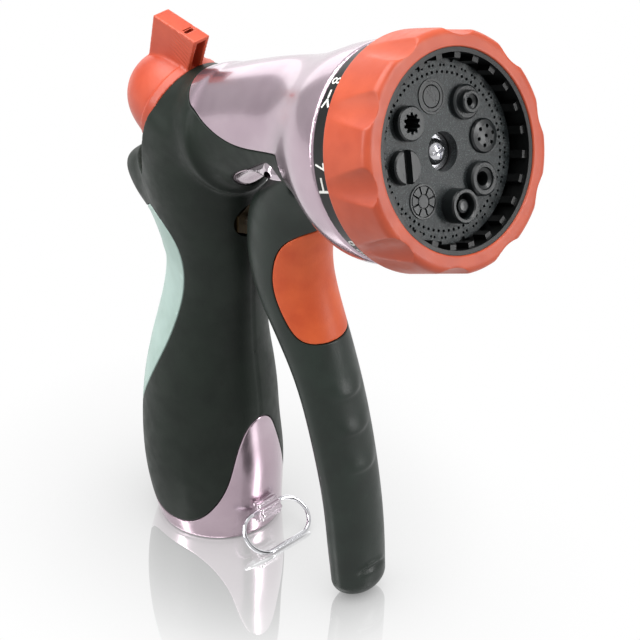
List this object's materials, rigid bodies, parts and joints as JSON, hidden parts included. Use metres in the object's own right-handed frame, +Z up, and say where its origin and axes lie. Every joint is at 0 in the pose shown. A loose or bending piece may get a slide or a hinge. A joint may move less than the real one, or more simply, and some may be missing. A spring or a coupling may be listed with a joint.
{
  "type": "hose spray nozzle",
  "caption": "Front-trigger garden hose nozzle with over-moulded grip, rotating multi-pattern dial, rear flow knob and a swinging lock ring.",
  "frame": {"origin": "centre of the hose inlet mouth, on the flat base", "axes": "+Z up along the handle, +X towards the spray side, +Y to the left of a user facing +X"},
  "size_m": [0.1454, 0.0666, 0.1984],
  "materials": {
    "body_silver": "metallic lilac-silver lacquer over a die-cast body, satin",
    "grip_green": "soft-touch moulded rubber",
    "trigger_green": "soft-touch moulded plastic",
    "palm_mint": "soft moulded rubber",
    "coral": "satin moulded elastomer",
    "pad_orange": "soft moulded rubber",
    "knob_orange": "satin moulded plastic",
    "dial_black": "satin moulded plastic",
    "plate_grey": "fine speckled texture",
    "chrome_wire": "polished",
    "steel": "bright zinc plated",
    "brass_fit": "turned",
    "black_rubber": "moulded",
    "valve_plastic": "moulded acetal"
  },
  "bodies": {
    "body": {"nozzle_body": "body_silver", "handle_grip": "grip_green", "palm_pad": "palm_mint", "hose_washer": "black_rubber", "filter_screen": "valve_plastic", "trigger_pin": "steel", "packing_nut": "brass_fit", "stem_seal": "black_rubber", "face_screw": "chrome_wire", "face_washer": "steel", "port_seal": "black_rubber", "port_spring": "steel", "click_spring": "steel", "spool_circlip": "steel", "valve_spring": "steel"},
    "dial": {"turret_shell": "dial_black", "index_ring": "dial_black", "bumper_ring": "coral", "face_plate": "plate_grey", "outlet_full": "plate_grey", "outlet_jet": "dial_black", "outlet_shower": "dial_black", "outlet_stub": "dial_black", "outlet_cone": "dial_black", "outlet_mist": "plate_grey", "outlet_flat": "dial_black", "outlet_rinse": "dial_black"},
    "trigger": {"trigger_lever": "trigger_green", "trigger_pad": "pad_orange"},
    "stem": {"valve_stem": "steel", "valve_seal": "black_rubber"},
    "knob": {"flow_knob": "knob_orange", "flow_spool": "valve_plastic", "spool_oring": "black_rubber"},
    "ring": {"lock_ring": "chrome_wire"}
  },
  "joints": [
    {"name": "trigger_squeeze", "type": "hinge", "parent": "body", "child": "trigger", "pos_m": [0.046, 0, 0.1395], "axis": [0, 1, 0], "range_deg": [0, 9.5], "stiffness_Nm_per_rad": 0.6, "springref_deg": -11.46},
    {"name": "stem_slide", "type": "slide", "parent": "body", "child": "stem", "axis": [-1, 0, 0], "range_m": [0, 0.005], "deforming": ["valve_spring"]},
    {"name": "dial_turn", "type": "hinge", "parent": "body", "child": "dial", "pos_m": [0.0974, 0, 0.1688], "axis": [0.9231, 0, 0.3846], "continuous": true, "deforming": ["click_spring"]},
    {"name": "flow_turn", "type": "hinge", "parent": "body", "child": "knob", "pos_m": [-0.0109, 0, 0.1398], "axis": [-0.9521, 0, 0.3057], "range_deg": [0, 90]},
    {"name": "ring_swing", "type": "hinge", "parent": "body", "child": "ring", "pos_m": [0.0207, 0, 0.009], "axis": [0, 1, 0], "range_deg": [-115, 40]}
  ],
  "couplings": [
    {"joint": "stem_slide", "follows": "trigger_squeeze", "m_per_rad": 0.0293}
  ]
}
